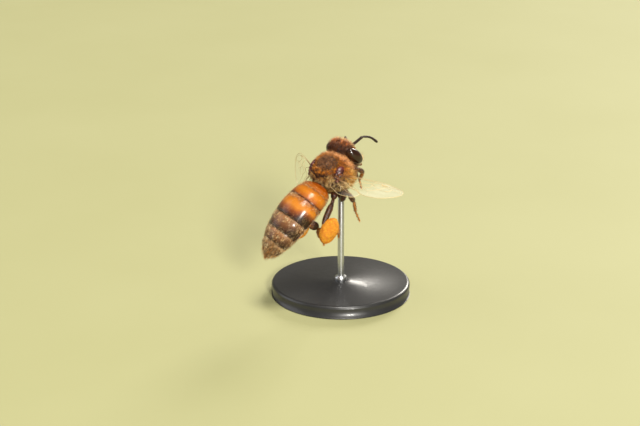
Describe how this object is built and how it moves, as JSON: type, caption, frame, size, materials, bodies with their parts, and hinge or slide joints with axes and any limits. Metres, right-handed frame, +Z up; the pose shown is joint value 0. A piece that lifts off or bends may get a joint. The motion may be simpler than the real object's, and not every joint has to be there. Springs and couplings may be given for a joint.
{
  "type": "honey bee in flight on a display stand",
  "caption": "Life-size still model of a worker honey bee in hovering flight, with pollen on its hind legs, held by a rod on a round base.",
  "frame": {"origin": "centre of the underside of the round stand base", "axes": "+Z up, +Y the way the bee flies, +X to the bee's right"},
  "size_m": [0.0196, 0.0142, 0.0147],
  "materials": {
    "coat": "golden-tan branched hairs",
    "shell": "amber and dark brown banded cuticle, satin gloss",
    "cuticle": "dark brown cuticle, satin gloss",
    "eye": "black-brown faceted gloss",
    "wing": "clear membrane with brown veins",
    "pollen": "granular orange pollen",
    "stand_base": "satin black",
    "stand_rod": "brushed"
  },
  "bodies": {
    "root": {"abdomen_segment_1": "shell", "abdomen_segment_2": "shell", "abdomen_segment_3": "shell", "abdomen_segment_4": "shell", "abdomen_segment_5": "shell", "abdomen_segment_6": "shell", "antenna_flagellum_left": "cuticle", "antenna_flagellum_right": "cuticle", "antenna_scape_left": "cuticle", "antenna_scape_right": "cuticle", "eye_left": "eye", "eye_right": "eye", "fore_wing_left": "wing", "fore_wing_right": "wing", "head": "coat", "hind_wing_left": "wing", "hind_wing_right": "wing", "leg_front_left_femur": "cuticle", "leg_front_left_tarsus": "cuticle", "leg_front_left_tibia": "cuticle", "leg_front_right_femur": "cuticle", "leg_front_right_tarsus": "cuticle", "leg_front_right_tibia": "cuticle", "leg_hind_left_femur": "cuticle", "leg_hind_left_tarsus": "cuticle", "leg_hind_left_tibia": "cuticle", "leg_hind_right_femur": "cuticle", "leg_hind_right_tarsus": "cuticle", "leg_hind_right_tibia": "cuticle", "leg_middle_left_femur": "cuticle", "leg_middle_left_tarsus": "cuticle", "leg_middle_left_tibia": "cuticle", "leg_middle_right_femur": "cuticle", "leg_middle_right_tarsus": "cuticle", "leg_middle_right_tibia": "cuticle", "mandible_left": "cuticle", "mandible_right": "cuticle", "mesothorax": "coat", "pollen_left": "pollen", "pollen_right": "pollen", "proboscis": "cuticle", "pronotum": "coat", "propodeum": "coat", "stand_base": "stand_base", "stand_rod": "stand_rod", "waist": "cuticle"}
  },
  "joints": []
}
